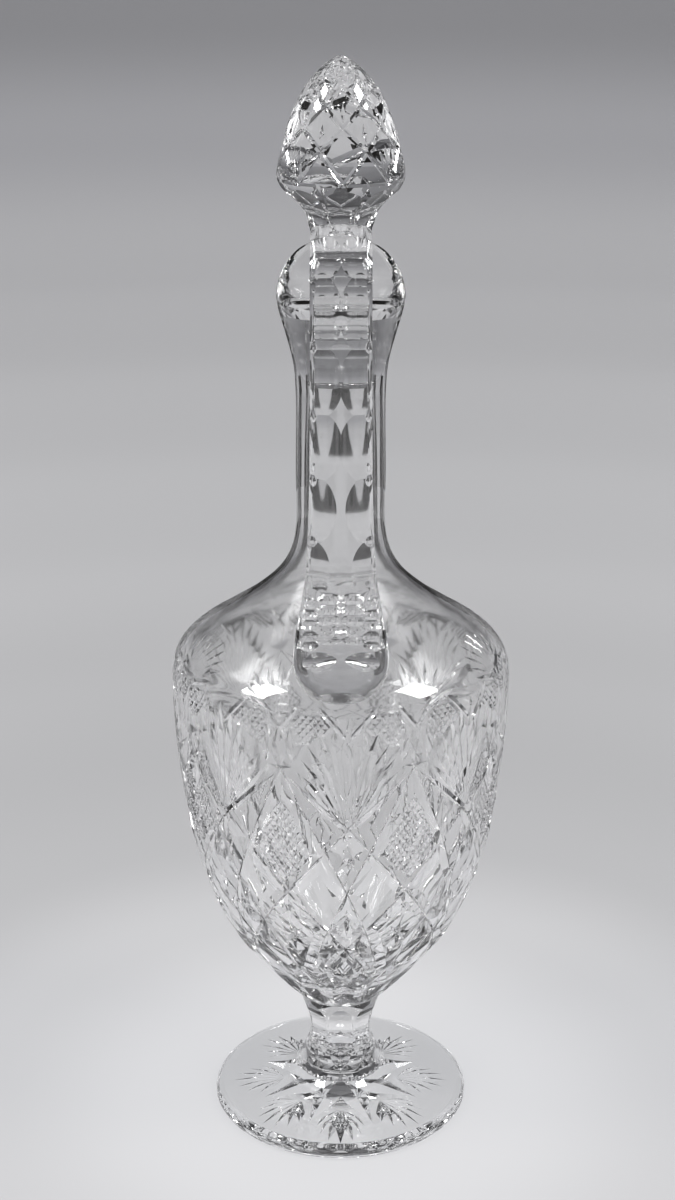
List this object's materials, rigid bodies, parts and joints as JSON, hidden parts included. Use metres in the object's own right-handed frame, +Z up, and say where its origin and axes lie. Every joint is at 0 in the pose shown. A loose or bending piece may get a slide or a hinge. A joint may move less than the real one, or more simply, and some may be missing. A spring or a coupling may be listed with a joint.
{
  "type": "footed glass decanter with stopper",
  "caption": "Tall footed cut-crystal decanter with a strap handle from lip to shoulder, a raised pouring lip and a lift-out ground stopper with a faceted pointed finial.",
  "frame": {"origin": "centre of the flat underside of the foot, on the vertical axis of the glass", "axes": "+Z up along the axis of the glass; the handle is on the -Y side and the pouring lip on the +Y side; +X is to the right when looking at the handle"},
  "size_m": [0.1182, 0.1185, 0.38],
  "materials": {
    "foot": "fire-polished clear lead crystal, star and fan cut underneath",
    "stem": "polished clear lead crystal, eight hollow facets",
    "vessel": "polished clear lead crystal, deep mitre, fan and fine hobnail cutting",
    "handle": "clear lead crystal strap, scalloped back and notched edges",
    "stopper": "polished clear lead crystal, mitre-cut finial and ground plug"
  },
  "bodies": {
    "decanter_body": {"foot": "foot", "stem": "stem", "vessel": "vessel", "handle": "handle"},
    "stopper": {"stopper": "stopper"}
  },
  "joints": [
    {"name": "stopper_lift", "type": "slide", "parent": "decanter_body", "child": "stopper", "axis": [0, 0, 1], "range_m": [0, 0.1]}
  ]
}
